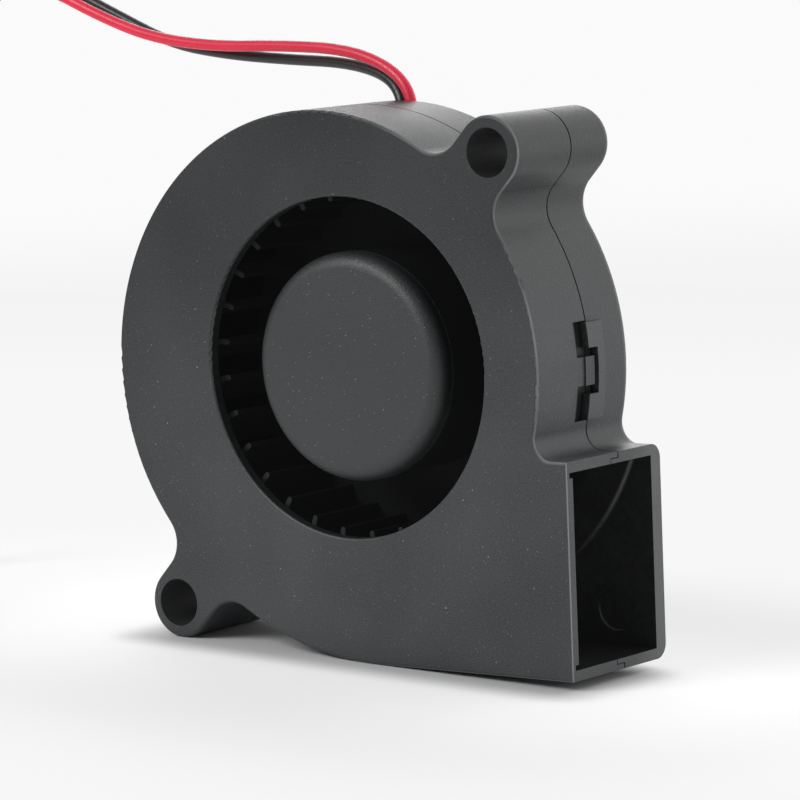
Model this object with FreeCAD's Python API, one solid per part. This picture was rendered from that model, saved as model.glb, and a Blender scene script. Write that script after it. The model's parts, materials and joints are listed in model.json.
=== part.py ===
import FreeCAD, Part
import math
import os
from FreeCAD import Vector

# Centrifugal blower, 51 x 51 x 15 mm. All sizes in millimetres.
# X points out of the outlet, Y runs from the front face to the rear face, Z is up.
# The origin is the centre of the inlet on the front face, on the impeller's axis.

# Helpers: a cut reaches this far past a face, a block of this half width takes in the whole casing,
# and faces and edges are told apart to within this
past = 1.0
all_round = 40.0
same_place = 1e-6
round_off = 1e-3

# Casing: walls, parting line and edges
depth = 15.0
front_wall = 1.1
rear_wall = 1.5
side_wall = 1.0
foot_groove_width, foot_groove_depth = 0.5, 0.5
parting = 8.2
lap_length = 1.1
lap_gap = 0.08
seam = 0.16
front_round = 0.3
rear_round = 1.4
inlet_radius = 15.75
inlet_round = 0.25

# Volute outline: a crest arc over the top and left, a sweep arc into the flat bottom,
# and a cutoff arc down the right side to the tongue
crest_x, crest_z, crest_radius = -2.82, -0.45, 24.1
crest_start, crest_end = 55.0, 215.0
cutoff_x, cutoff_z, cutoff_step = -1.74, 0.02, 0.68
cutoff_end = 33.5
bottom_z = -27.35
duct_top_z = -7.55
mouth_x = 24.4
tongue_radius = 1.8

# Mounting ears at two opposite corners
hole_radius = 2.25
upper_hole_reach, upper_hole_angle = 4.349, 45.698
lower_hole_reach, lower_hole_angle = 4.905, 231.312
ear_radius = 3.35
ear_angle = 47.0
ear_web = 9.0
ear_fillet = 3.0
lower_ear_shift = 0.2

# Snap latches on the right and left walls
latch_z = -0.3
latch_height = 8.8
latch_foot = 2.3
latch_bar = 1.05
latch_front = 7.8
latch_window_rear = 9.15
latch_raise = 0.35
latch_depth = 0.5
latch_gap = 0.12
pocket_front, pocket_ramp = 7.1, 0.9
catch_height = 2.6
catch_front = 7.4
catch_rear = 8.8
catch_raise = 0.15

# Marks inside the outlet
floor_step_radius = 24.1
floor_step = 0.2
ejector_x, ejector_z, ejector_radius = 20.1, -23.0, 1.95
ejector_depth = 0.15

# Rear face: label recess, lead slot and lead channel
label_radius = 13.0
label_depth = 0.2
lead_diameter = 1.1
lead_pitch = 1.15
lead_x = -2.55
lead_rest = 0.08
channel_depth = 1.25
channel_side = 0.25
channel_rib_wall = 0.7
slot_low_z, slot_high_z = 7.4, 10.2

# Impeller
hub_radius = 10.6
hub_front = 0.3
hub_wall = 0.8
hub_round = 1.5
hub_cap_length, hub_cap_step = 2.2, 0.12
disc_gap, disc_thick = 0.9, 1.0
impeller_gap = 0.3
blade_count = 29
impeller_side_gap = 1.26
blade_depth = 3.6
blade_front = 2.15
blade_thickness = 0.5
blade_bend = 63.0
rim_ring = 0.7
rim_ring_height = 0.8

# Rotor: yoke, magnet, bushing and shaft
fit_gap = 0.03
yoke_wall = 0.6
yoke_board_gap, magnet_board_gap = 0.8, 1.3
magnet_wall = 1.15
magnet_front = 2.9
bushing_radius = 1.9
bushing_flange = 2.6
bushing_flange_thick = 0.4
bushing_tube_gap = 0.25
shaft_radius = 1.0
clip_place = 1.45
clip_thick = 0.3
clip_radius = 1.8
clip_groove = 0.25
clip_mouth = 0.6
shaft_chamfer = 0.15

# Bearing tube, bearing and its washers
tube_radius = 2.9
tube_bore = 2.25
tube_front = 4.2
washer_seat = 0.15
bearing_chamfer = 0.2
running_gap = 0.02
oil_washer_thick = 0.25
oil_washer_gap = 0.15
pad_thick = 0.5
pad_gap = 0.05
pad_floor = 0.1
boss_radius = 4.8
boss_height = 1.7

# Stator
air_gap = 0.3
core_front = 4.7
core_board_gap = 2.5
core_hub = 4.3
shoe_thick = 1.0
pole_width = 1.8
pole_count = 4
first_pole = 45
slot_opening = 1.4
insulator = 0.4
flange_height = 1.2
flange_width = 5.4
flange_set_back = 0.1
coil_thick = 0.75
coil_inner, coil_outer = 4.75, 6.35
coil_round = 0.45
leg_wall = 1.1

# Circuit board and what is soldered to it
board_thick = 0.8
board_radius = 9.2
pin_radius = 0.25
conductor_radius = 0.25
conductor_bend = 0.8
conductor_z = 8.0
solder_radius = 0.5
solder_tip = 0.1
solder_height = 0.45
chip_inner, chip_width, chip_length, chip_height = 7.0, 1.6, 2.9, 0.75
small_part_inner, small_part_width, small_part_length = 6.7, 0.8, 1.6
capacitor_height, resistor_height = 0.8, 0.5
capacitor_angle = 200
resistor_angles = [250, 290]

# Connector at the end of the leads
plug_width, plug_height, plug_length = 7.4, 5.6, 8.0
plug_pitch = 2.5
plug_line = 2.5
plug_cavity = 1.7
plug_back_wall = 1.3
plug_rail_width, plug_rail_height, plug_rail_start = 0.7, 0.5, 3.0
plug_window_start, plug_window_end, plug_window_width, plug_window_depth = 2.5, 5.0, 1.0, 1.6
contact_size, contact_wall, contact_floor, contact_set_back = 1.4, 0.2, 1.3, 0.8

# Where the put-away lead lies: two rings of four turns, one on the other
ring_x, ring_y = -70.0, 10.0
ring_radius = 6.0
ring_turns_wide = 2
turn_gap = 0.05
plug_y = 1.5
# The ends run from the ring to the plug, and an arc takes up this share of the shorter run at each bend
tail_start, tail_turn, tail_aside, tail_straight = 0.5, 2.9, 0.25, 2.4
bend_share = 0.45

# Places that follow from the sizes above, from the rear wall forwards
axis = Vector(0, 1, 0)
rear_inner = depth - rear_wall
disc_rear = rear_inner - disc_gap
disc_front = disc_rear - disc_thick
board_rear = rear_inner - boss_height
board_front = board_rear - board_thick
yoke_rear = board_front - yoke_board_gap
magnet_rear = board_front - magnet_board_gap
core_rear = board_front - core_board_gap
pad_rear = rear_inner - pad_floor
shaft_rear = pad_rear - pad_thick - pad_gap
clip_front = shaft_rear - clip_place
bearing_rear = board_front
bearing_front = tube_front + washer_seat + oil_washer_thick + fit_gap
cutoff_radius = crest_radius - cutoff_step
wheel_radius = cutoff_x + cutoff_radius - side_wall - impeller_side_gap


def polar(x, z, radius, degrees, y=0.0):
    turn = math.radians(degrees)
    return Vector(x + radius * math.cos(turn), y, z + radius * math.sin(turn))


def line(a, b):
    return Part.LineSegment(a, b).toShape()


def arc(a, middle, b):
    return Part.Arc(a, middle, b).toShape()


def prism(face, y_front, y_rear):
    lower = face.copy()
    lower.translate(Vector(0, y_front, 0))
    return lower.extrude(Vector(0, y_rear - y_front, 0))


def disc(radius, y_front, y_rear, x=0.0, z=0.0):
    return Part.makeCylinder(radius, y_rear - y_front, Vector(x, y_front, z), axis)


def ring(outer, inner, y_front, y_rear, x=0.0, z=0.0):
    return disc(outer, y_front, y_rear, x, z).cut(disc(inner, y_front, y_rear, x, z))


def block(x0, x1, y0, y1, z0, z1):
    return Part.makeBox(x1 - x0, y1 - y0, z1 - z0, Vector(x0, y0, z0))


def turned(shape, degrees):
    copy = shape.copy()
    copy.rotate(Vector(0, 0, 0), axis, -degrees)
    return copy


def merged(shapes):
    return shapes[0].multiFuse(shapes[1:]).removeSplitter()


def save(name, shape):
    shape.exportStep("parts/" + name + ".step")
    print(name, "solids", len(shape.Solids), "faces", len(shape.Faces), "valid", shape.isValid())


# The sweep arc starts where the crest arc ends and touches the flat bottom
sweep_down = math.sin(math.radians(crest_end))
sweep_radius = (crest_z + crest_radius * sweep_down - bottom_z) / (1 + sweep_down)
sweep_centre = polar(crest_x, crest_z, crest_radius - sweep_radius, crest_end)

# The tongue fillet touches the cutoff arc from outside and the top of the duct
tongue_z = duct_top_z + tongue_radius
tongue_x = cutoff_x + math.sqrt((cutoff_radius + tongue_radius) ** 2 - (tongue_z - cutoff_z) ** 2)
tongue_angle = math.degrees(math.atan2(tongue_z - cutoff_z, tongue_x - cutoff_x))

# The mounting holes lie just outside the crest arc, 38 mm apart across and 43 mm apart in height
upper_hole = polar(crest_x, crest_z, crest_radius + upper_hole_reach, upper_hole_angle)
lower_hole = polar(crest_x, crest_z, crest_radius + lower_hole_reach, lower_hole_angle)
print("hole spacing", round(upper_hole.x - lower_hole.x, 3), round(upper_hole.z - lower_hole.z, 3))

# The casing leans on its lower ear and on the sweep arc; the leads lie on that same plane
lower_ear_x = lower_hole.x + lower_ear_shift
lean_x, lean_z = sweep_centre.x - lower_ear_x, sweep_centre.z - lower_hole.z
lean = math.atan2(lean_x, lean_z) - math.acos(
    (sweep_radius - ear_radius) / math.hypot(lean_x, lean_z)
)


def ground_z(x):
    # Height of the plane that the leaning casing stands on
    touch_x = sweep_centre.x - sweep_radius * math.sin(lean)
    touch_z = sweep_centre.z - sweep_radius * math.cos(lean)
    return touch_z - (x - touch_x) * math.tan(lean)


def volute_face(inset, mouth):
    # The volute outline with every wall moved inwards by inset, open at x = mouth
    crest = crest_radius - inset
    cutoff = cutoff_radius - inset
    sweep = sweep_radius - inset
    tongue = tongue_radius + inset
    low_mouth = Vector(mouth, 0, bottom_z + inset)
    high_mouth = Vector(mouth, 0, duct_top_z - inset)
    tongue_foot = Vector(tongue_x, 0, duct_top_z - inset)
    tongue_middle = polar(tongue_x, tongue_z, tongue, (tongue_angle + 180 + 270) / 2)
    tongue_top = polar(cutoff_x, cutoff_z, cutoff, tongue_angle)
    cutoff_middle = polar(cutoff_x, cutoff_z, cutoff, (tongue_angle + cutoff_end) / 2)
    cutoff_top = polar(cutoff_x, cutoff_z, cutoff, cutoff_end)
    crest_low = polar(crest_x, crest_z, crest, crest_start)
    chord = crest_low - cutoff_top
    outward = Vector(chord.z, 0, -chord.x).normalize()
    corner = (crest_low + cutoff_top) * 0.5 + outward * (chord.Length**2 / (8 * crest))
    crest_middle = polar(crest_x, crest_z, crest, (crest_start + crest_end) / 2)
    crest_foot = polar(crest_x, crest_z, crest, crest_end)
    sweep_middle = polar(sweep_centre.x, sweep_centre.z, sweep, (crest_end + 270) / 2)
    sweep_foot = Vector(sweep_centre.x, 0, bottom_z + inset)
    edges = [
        line(low_mouth, high_mouth),
        line(high_mouth, tongue_foot),
        arc(tongue_foot, tongue_middle, tongue_top),
        arc(tongue_top, cutoff_middle, cutoff_top),
        arc(cutoff_top, corner, crest_low),
        arc(crest_low, crest_middle, crest_foot),
        arc(crest_foot, sweep_middle, sweep_foot),
        line(sweep_foot, low_mouth),
    ]
    return Part.Face(Part.Wire(edges))


def ear_face(x, z, towards):
    # A round end of ear_radius on a straight web that runs into the volute wall
    left = polar(x, z, ear_radius, towards + 90)
    tip = polar(x, z, ear_radius, towards + 180)
    right = polar(x, z, ear_radius, towards - 90)
    along = polar(0, 0, ear_web, towards)
    edges = [
        arc(left, tip, right),
        line(right, right + along),
        line(right + along, left + along),
        line(left + along, left),
    ]
    return Part.Face(Part.Wire(edges))


ears = [
    (upper_hole.x, upper_hole.z, ear_angle + 180),
    (lower_ear_x, lower_hole.z, ear_angle),
]


def ear_corner_edges(solid):
    # The concave edges where an ear's straight sides meet the volute wall
    found = []
    for edge in solid.Edges:
        a, b = edge.Vertexes[0].Point, edge.Vertexes[-1].Point
        if abs(abs(a.y - b.y) - depth) > same_place:
            continue
        for x, z, towards in ears:
            turn = math.radians(towards)
            along = (a.x - x) * math.cos(turn) + (a.z - z) * math.sin(turn)
            across = -(a.x - x) * math.sin(turn) + (a.z - z) * math.cos(turn)
            if abs(abs(across) - ear_radius) < round_off and same_place < along < ear_web:
                found.append(edge)
    return found


def outline_edges(solid, y):
    # The outer edges of the front or rear face, except the one at the mouth
    face = max(
        (f for f in solid.Faces if abs(f.BoundBox.YMin - y) + abs(f.BoundBox.YMax - y) < same_place),
        key=lambda f: f.Area,
    )
    return [e for e in face.OuterWire.Edges if e.BoundBox.XMin < mouth_x - same_place]


def casing_blank():
    blank = prism(volute_face(0, mouth_x), 0, depth)
    for x, z, towards in ears:
        blank = blank.fuse(prism(ear_face(x, z, towards), 0, depth))
    blank = blank.removeSplitter()
    blank = blank.makeFillet(ear_fillet, ear_corner_edges(blank))
    blank = blank.makeFillet(front_round, outline_edges(blank, 0))
    return blank.makeFillet(rear_round, outline_edges(blank, depth))


def wall_band(outer_inset, inner_inset, y_front, y_rear):
    # A closed band that follows the volute wall between two insets, open at the mouth
    outer = prism(volute_face(outer_inset, mouth_x), y_front, y_rear)
    return outer.cut(prism(volute_face(inner_inset, mouth_x + past), y_front, y_rear))


latch_low = latch_z - latch_height / 2
latch_high = latch_z + latch_height / 2
latch_rear = latch_window_rear + latch_bar
lip = side_wall / 2


def latch_sides(y0, y1, z0, z1):
    # The same block at the right wall and at the left wall
    reach = crest_radius - crest_x + 2 * latch_raise
    return block(-reach, -reach / 2, y0, y1, z0, z1).fuse(block(reach / 2, reach, y0, y1, z0, z1))


def latch_pocket():
    # A recess for each loop: its floor slopes down from the wall's surface and then runs level
    low, high = latch_low - latch_gap, latch_high + latch_gap
    slope_front = pocket_front - pocket_ramp
    level = latch_sides(pocket_front, parting, low, high)
    level = level.common(wall_band(-past, latch_depth, pocket_front, parting))
    slope = latch_sides(slope_front, pocket_front, low, high)
    for x, z, radius in ((crest_x, crest_z, crest_radius), (cutoff_x, cutoff_z, cutoff_radius)):
        start = Vector(x, slope_front, z)
        slope = slope.cut(Part.makeCone(radius, radius - latch_depth, pocket_ramp, start, axis))
    return level.fuse(slope)


def front_cover(blank):
    cover = blank.common(block(-all_round, all_round, 0, parting, -all_round, all_round))
    cover = cover.cut(prism(volute_face(side_wall, mouth_x + past), front_wall, parting))
    cover = cover.cut(prism(volute_face(lip, mouth_x + past), parting - lap_length, parting))
    groove = wall_band(
        side_wall, side_wall + foot_groove_width, front_wall - foot_groove_depth, front_wall
    )
    cover = cover.cut(groove)
    cover = cover.cut(disc(inlet_radius, 0, front_wall))
    cover = cover.cut(latch_pocket())
    # The catch is flush with the wall at first and stands proud under the loop
    catch_low, catch_high = latch_z - catch_height / 2, latch_z + catch_height / 2
    for front, raised in ((pocket_front - pocket_ramp, 0), (catch_front, catch_raise)):
        catch = latch_sides(front, catch_rear, catch_low, catch_high)
        cover = cover.fuse(catch.common(wall_band(-raised, latch_depth, front, catch_rear)))
    for hole in (upper_hole, lower_hole):
        cover = cover.cut(disc(hole_radius, 0, parting, hole.x, hole.z))
    cover = cover.removeSplitter()
    inlet_edges = [
        e
        for e in cover.Edges
        if e.BoundBox.YMax < same_place and abs(e.BoundBox.XMax - inlet_radius) < round_off
    ]
    return cover.makeFillet(inlet_round, inlet_edges)


channel_left = lead_x - lead_pitch / 2 - lead_diameter / 2 - channel_side
channel_right = lead_x + lead_pitch / 2 + lead_diameter / 2 + channel_side
channel_floor = depth - channel_depth


def rear_shell(blank):
    front = parting + seam
    shell = blank.common(block(-all_round, all_round, front, depth, -all_round, all_round))
    shell = shell.cut(prism(volute_face(side_wall, mouth_x + past), front, rear_inner))
    tongue = wall_band(lip + lap_gap, side_wall, parting - lap_length + lap_gap, front)
    step = disc(floor_step_radius, rear_inner - floor_step, rear_inner)
    step = step.common(prism(volute_face(side_wall, mouth_x), rear_inner - floor_step, rear_inner))
    rib = block(
        channel_left - channel_rib_wall,
        channel_right + channel_rib_wall,
        disc_rear + impeller_gap,
        rear_inner,
        slot_low_z,
        crest_radius,
    )
    rib = rib.common(prism(volute_face(lip, mouth_x), 0, depth))
    tube = disc(tube_radius, tube_front, rear_inner)
    boss = disc(boss_radius, board_rear, rear_inner)
    window_z0, window_z1 = latch_low + latch_foot, latch_high - latch_foot
    window = latch_sides(front - past, latch_window_rear, window_z0, window_z1)
    shell = shell.cut(window.common(wall_band(-past, latch_depth, front - past, latch_window_rear)))
    loop = latch_sides(latch_front, latch_rear, latch_low, latch_high)
    loop = loop.cut(latch_sides(latch_front, latch_window_rear, window_z0, window_z1))
    loop = loop.common(wall_band(-latch_raise, latch_depth - fit_gap, latch_front, latch_rear))
    shell = merged([shell, tongue, step, rib, tube, boss, loop])
    shell = shell.cut(disc(tube_bore, tube_front, pad_rear))
    shell = shell.cut(disc(label_radius, depth - label_depth, depth))
    shell = shell.cut(
        block(channel_left, channel_right, channel_floor, depth + past, slot_low_z, crest_radius + past)
    )
    shell = shell.cut(block(channel_left, channel_right, disc_rear, depth, slot_low_z, slot_high_z))
    mark = disc(ejector_radius, rear_inner - past, rear_inner + ejector_depth, ejector_x, ejector_z)
    shell = shell.cut(mark)
    for hole in (upper_hole, lower_hole):
        shell = shell.cut(disc(hole_radius, front, depth, hole.x, hole.z))
    return shell.removeSplitter()


def blade():
    # A forward-curved blade: it leaves the inner circle radially and bends towards the spin,
    # with the curve's radius chosen so that it meets the outer circle after blade_bend degrees
    blade_outer = wheel_radius - blade_thickness / 2
    blade_inner = blade_outer - blade_depth
    rise = math.sin(math.radians(blade_bend))
    side = 1 - math.cos(math.radians(blade_bend))
    square = rise**2 + side**2
    along = blade_inner * rise
    curve = (math.sqrt(along**2 + square * (blade_outer**2 - blade_inner**2)) - along) / square
    half = blade_thickness / 2
    end = blade_bend - 90
    middle = (end - 90) / 2
    outer = [polar(blade_inner, curve, curve + half, a) for a in (-90, middle, end)]
    inner = [polar(blade_inner, curve, curve - half, a) for a in (end, middle, -90)]
    edges = [
        arc(*outer),
        line(outer[-1], inner[0]),
        arc(*inner),
        arc(inner[-1], Vector(blade_inner - half, 0, 0), outer[0]),
    ]
    return prism(Part.Face(Part.Wire(edges)), blade_front, disc_front)


yoke_radius = hub_radius - hub_wall - fit_gap
yoke_front = hub_front + hub_wall


def impeller():
    hub = disc(hub_radius, hub_front, disc_rear)
    hub = hub.makeFillet(hub_round, [e for e in hub.Edges if e.BoundBox.YMax < hub_front + same_place])
    behind_cap = ring(
        hub_radius, hub_radius - hub_cap_step, hub_front + hub_cap_length, disc_front
    )
    hub = hub.cut(behind_cap)
    plate = disc(wheel_radius, disc_front, disc_rear)
    rim = ring(wheel_radius, wheel_radius - rim_ring, blade_front, blade_front + rim_ring_height)
    wheel = hub.fuse(plate)
    wheel = wheel.cut(disc(hub_radius - hub_wall, yoke_front, disc_rear))
    first = blade()
    blades = [turned(first, 360.0 * i / blade_count) for i in range(blade_count)]
    return merged([wheel, rim] + blades)


def rotor_yoke():
    cup = disc(yoke_radius, yoke_front, yoke_rear)
    cup = cup.cut(disc(yoke_radius - yoke_wall, yoke_front + yoke_wall, yoke_rear))
    return cup.cut(disc(bushing_radius + fit_gap, yoke_front, yoke_front + yoke_wall))


magnet_outer = yoke_radius - yoke_wall - fit_gap
magnet_inner = magnet_outer - magnet_wall


def hub_bushing():
    flange_front = yoke_front + yoke_wall
    bushing_rear = tube_front - bushing_tube_gap
    body = disc(bushing_radius, yoke_front, bushing_rear)
    body = body.fuse(disc(bushing_flange, flange_front, flange_front + bushing_flange_thick))
    return body.cut(disc(shaft_radius, yoke_front, bushing_rear)).removeSplitter()


def shaft():
    rod = disc(shaft_radius, yoke_front, shaft_rear)
    rod = rod.makeChamfer(
        shaft_chamfer, [e for e in rod.Edges if e.BoundBox.YMin > shaft_rear - same_place]
    )
    groove = ring(clip_radius, shaft_radius - clip_groove, clip_front, clip_front + clip_thick)
    return rod.cut(groove)


def retaining_clip():
    clip = ring(clip_radius, shaft_radius - clip_groove, clip_front, clip_front + clip_thick)
    half = clip_mouth / 2
    gap = block(0, clip_radius + past, clip_front, clip_front + clip_thick, -half, half)
    return clip.cut(gap)


def sleeve_bearing():
    body = disc(tube_bore - fit_gap, bearing_front, bearing_rear)
    body = body.makeChamfer(bearing_chamfer, [e for e in body.Edges if len(e.Vertexes) == 1])
    return body.cut(disc(shaft_radius + running_gap, bearing_front, bearing_rear))


def oil_washer():
    return ring(
        tube_bore - fit_gap,
        shaft_radius + oil_washer_gap,
        bearing_front - fit_gap - oil_washer_thick,
        bearing_front - fit_gap,
    )


def thrust_pad():
    return disc(tube_bore - fit_gap, pad_rear - pad_thick, pad_rear)


core_outer = magnet_inner - air_gap
core_bore = tube_radius + fit_gap
pole_step = 360.0 / pole_count


def pole_blocks(width, inner, outer, y0, y1):
    bar = block(inner, outer, y0, y1, -width / 2, width / 2)
    return [turned(bar, first_pole + pole_step * i) for i in range(pole_count)]


def stator_core():
    shoes = ring(core_outer, core_outer - shoe_thick, core_front, core_rear)
    for i in range(pole_count):
        gap = block(core_hub, core_outer + past, core_front, core_rear, -slot_opening / 2, slot_opening / 2)
        shoes = shoes.cut(turned(gap, pole_step * i))
    hub = disc(core_hub, core_front, core_rear)
    necks = pole_blocks(pole_width, 0, core_outer - shoe_thick / 2, core_front, core_rear)
    return merged([hub, shoes] + necks).cut(disc(core_bore, core_front, core_rear))


def stator_insulator(inner_y, outer_y):
    # One moulded half: a hub ring, four neck covers and an upright flange over each pole shoe
    y0, y1 = min(inner_y, outer_y), max(inner_y, outer_y)
    away = 1 if outer_y > inner_y else -1
    f0, f1 = sorted((inner_y, inner_y + away * flange_height))
    flange_inner = coil_outer + flange_set_back
    necks = pole_blocks(pole_width + 2 * insulator, core_bore, flange_inner + insulator, y0, y1)
    flanges = pole_blocks(flange_width, flange_inner, core_outer, f0, f1)
    rim = disc(core_outer - flange_set_back, f0, f1)
    hub = ring(core_hub, core_bore, y0, y1)
    return merged([hub] + [flange.common(rim) for flange in flanges] + necks)


def front_insulator():
    return stator_insulator(core_front - fit_gap, core_front - fit_gap - insulator).cut(
        disc(core_bore, 0, depth)
    )


def rear_insulator():
    y = core_rear + fit_gap
    legs = ring(core_bore + leg_wall, core_bore, y, board_front)
    half = merged([stator_insulator(y, y + insulator), legs])
    half = half.cut(disc(core_bore, 0, depth))
    for x, z in pin_places():
        half = half.cut(disc(pin_radius, y, depth, x, z))
    return half


def pin_places():
    r = (core_outer + coil_outer) / 2
    return [(p.x, p.z) for p in (polar(0, 0, r, first_pole + pole_step * i) for i in range(pole_count - 1))]


def stator_windings():
    # Each coil is wound round the neck and both insulator halves
    coils = []
    front = core_front - fit_gap - insulator - fit_gap
    rear = core_rear + fit_gap + insulator + fit_gap
    half = pole_width / 2 + insulator + fit_gap
    for i in range(pole_count):
        outer = block(
            coil_inner,
            coil_outer,
            front - coil_thick,
            rear + coil_thick,
            -half - coil_thick,
            half + coil_thick,
        )
        corners = [e for e in outer.Edges if abs(e.Vertexes[0].X - e.Vertexes[1].X) > fit_gap]
        outer = outer.makeFillet(coil_round, corners)
        coils.append(
            turned(outer.cut(block(0, core_outer, front, rear, -half, half)), first_pole + pole_step * i)
        )
    return Part.makeCompound(coils)


def terminal_pins():
    y = core_rear + fit_gap
    return Part.makeCompound(
        [disc(pin_radius, y, board_rear + solder_height, x, z) for x, z in pin_places()]
    )


red_x, black_x = lead_x + lead_pitch / 2, lead_x - lead_pitch / 2
lead_places = [red_x, black_x]
lead_y = channel_floor + lead_diameter / 2 + lead_rest
lead_start_z = slot_high_z - lead_diameter / 2


def circuit_board():
    board = ring(board_radius, core_bore, board_front, board_rear)
    for x, z in pin_places():
        board = board.cut(disc(pin_radius + fit_gap, board_front, board_rear, x, z))
    for x in lead_places:
        board = board.cut(disc(conductor_radius + fit_gap, board_front, board_rear, x, conductor_z))
    return board


def solder_joints():
    joints = []
    for x, z in pin_places():
        cone = Part.makeCone(
            solder_radius, pin_radius + solder_tip, solder_height, Vector(x, board_rear, z), axis
        )
        joints.append(cone.cut(disc(pin_radius, board_rear, depth, x, z)))
    for x in lead_places:
        cone = Part.makeCone(
            solder_radius,
            conductor_radius + solder_tip,
            solder_height,
            Vector(x, board_rear, conductor_z),
            axis,
        )
        joints.append(cone.cut(disc(conductor_radius, board_rear, depth, x, conductor_z)))
    return Part.makeCompound(joints)


def lead_conductors():
    # The tinned end of each lead: through the board, back through the slot, then up the channel
    bend = conductor_bend
    wires = []
    for x in lead_places:
        a = Vector(x, board_front, conductor_z)
        b = Vector(x, lead_y - bend, conductor_z)
        c = Vector(x, lead_y, conductor_z + bend)
        k = bend * (1 - math.sqrt(0.5))
        middle = Vector(x, lead_y - k, conductor_z + k)
        d = Vector(x, lead_y, lead_start_z)
        path = Part.Wire([line(a, b), arc(b, middle, c), line(c, d)])
        profile = Part.Wire([Part.Circle(a, axis, conductor_radius).toShape()])
        wires.append(path.makePipeShell([profile], True, False))
    return Part.makeCompound(wires)


def hall_driver_chip():
    # The chip sits on the stator's side of the board, between two poles, close to the magnet
    return block(
        chip_inner,
        chip_inner + chip_width,
        board_front - chip_height,
        board_front,
        -chip_length / 2,
        chip_length / 2,
    )


def small_part(height, angle):
    body = block(
        small_part_inner,
        small_part_inner + small_part_width,
        board_rear,
        board_rear + height,
        -small_part_length / 2,
        small_part_length / 2,
    )
    return turned(body, angle)


def board_capacitor():
    return small_part(capacitor_height, capacitor_angle)


def board_resistors():
    return Part.makeCompound([small_part(resistor_height, angle) for angle in resistor_angles])


# Lead routes, chosen by hand: up the channel, out over the rim, left across the top and down
red_route = [
    (red_x, lead_y, lead_start_z),
    (-1.95, 14.38, 15.2),
    (-1.97, 14.42, 20.0),
    (-2.0, 14.55, 24.2),
    (-4.7, 14.9, 26.7),
    (-10.2, 15.3, 28.4),
    (-18.5, 15.7, 28.75),
    (-27.0, 16.0, 28.7),
    (-35.0, 16.2, 29.6),
    (-42.0, 16.5, 31.8),
    (-49.0, 16.3, 34.9),
    (-56.5, 15.2, 35.6),
    (-62.2, 14.6, 31.0),
    (-63.9, 15.0, 22.0),
    (-63.7, 16.0, 12.0),
    (-64.3, 17.0, 2.0),
    (-64.0, 17.9, -8.0),
    (-64.2, 18.6, -17.0),
]
black_route = [
    (black_x, lead_y, lead_start_z),
    (-3.16, 14.38, 15.2),
    (-3.14, 14.42, 20.0),
    (-3.15, 14.7, 23.8),
    (-5.6, 15.6, 25.9),
    (-11.0, 16.6, 27.05),
    (-18.5, 17.3, 27.3),
    (-26.5, 17.8, 27.8),
    (-34.0, 18.0, 28.9),
    (-41.5, 18.4, 31.9),
    (-48.0, 18.3, 34.7),
    (-55.0, 17.2, 34.8),
    (-60.4, 16.6, 30.6),
    (-61.9, 16.8, 22.5),
    (-61.7, 16.8, 12.5),
    (-62.3, 16.6, 2.5),
    (-62.0, 16.9, -6.5),
    (-62.5, 17.2, -15.5),
]

ring_thick = ring_turns_wide * (lead_diameter + turn_gap)
red_ring_z = 0.0
black_ring_z = ring_thick + turn_gap


def laid(x, y, height):
    # A point at this height over the plane that the casing leans on, square to that plane
    return (x + height * math.sin(lean), y, ground_z(x) + height * math.cos(lean))


red_turn_height = red_ring_z + ring_thick / 2
black_turn_height = black_ring_z + ring_thick / 2
ring_side_x = ring_x + ring_radius
red_foot_y, black_foot_y = 16.4, 15.4
red_route += [
    laid(ring_side_x, red_foot_y, red_turn_height),
    laid(ring_side_x, ring_y, red_turn_height),
]
black_route += [
    laid(ring_side_x, black_foot_y, black_turn_height),
    laid(ring_side_x, ring_y, black_turn_height),
]
plug_x = ring_side_x + plug_pitch / 2


def tail(height, side):
    # From the ring to the connector's rear face
    return [
        laid(ring_side_x, ring_y - tail_start, height),
        laid(ring_side_x + (1 + side) * tail_aside, ring_y - tail_turn, height),
        laid(plug_x + side * plug_pitch / 2, plug_y + tail_straight, plug_line),
        laid(plug_x + side * plug_pitch / 2, plug_y - plug_back_wall, plug_line),
    ]


def tube(name, route):
    # Straight runs joined by tangent arcs, each as large as its two runs allow
    points = [Vector(*p) for p in route]
    edges, start, radii = [], points[0], []
    for before, here, after in zip(points, points[1:], points[2:]):
        into, away = (here - before), (after - here)
        turn = into.getAngle(away)
        radius = bend_share * min(into.Length, away.Length) / math.tan(turn / 2)
        radii.append(radius)
        reach = radius * math.tan(turn / 2)
        a = here - Vector(into).normalize() * reach
        b = here + Vector(away).normalize() * reach
        inward = (a + b) * 0.5 - here
        centre_distance = math.hypot(radius, reach)
        middle = here + Vector(inward).normalize() * (centre_distance - radius)
        edges += [line(start, a), arc(a, middle, b)]
        start = b
    edges.append(line(start, points[-1]))
    path = Part.Wire(edges)
    circle = Part.Circle(points[0], points[1] - points[0], lead_diameter / 2)
    solid = path.makePipeShell([Part.Wire([circle.toShape()])], True, False)
    section = math.pi * lead_diameter**2 / 4
    share = round(solid.Volume / (section * path.Length), 4)
    print(name, "length", round(path.Length, 1), "radii", [round(r, 1) for r in radii], share)
    return solid


def lean_on_ground(shape, x):
    # Puts a shape made on z = 0 onto the plane that the casing leans on, tilted about x
    shape.rotate(Vector(x, 0, 0), axis, math.degrees(lean))
    shape.translate(Vector(0, 0, ground_z(x)))
    return shape


def lead_ring(height):
    outer = ring_radius + ring_thick / 2
    inner = ring_radius - ring_thick / 2
    base = Vector(ring_x, ring_y, height)
    body = Part.makeCylinder(outer, ring_thick, base).cut(Part.makeCylinder(inner, ring_thick, base))
    return lean_on_ground(body, ring_x)


def plug_block(x0, x1, y0, y1, z0, z1):
    # A block in the connector's own frame: x across, y away from the leads, z up
    return block(plug_x + x0, plug_x + x1, plug_y - y1, plug_y - y0, z0, z1)


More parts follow.
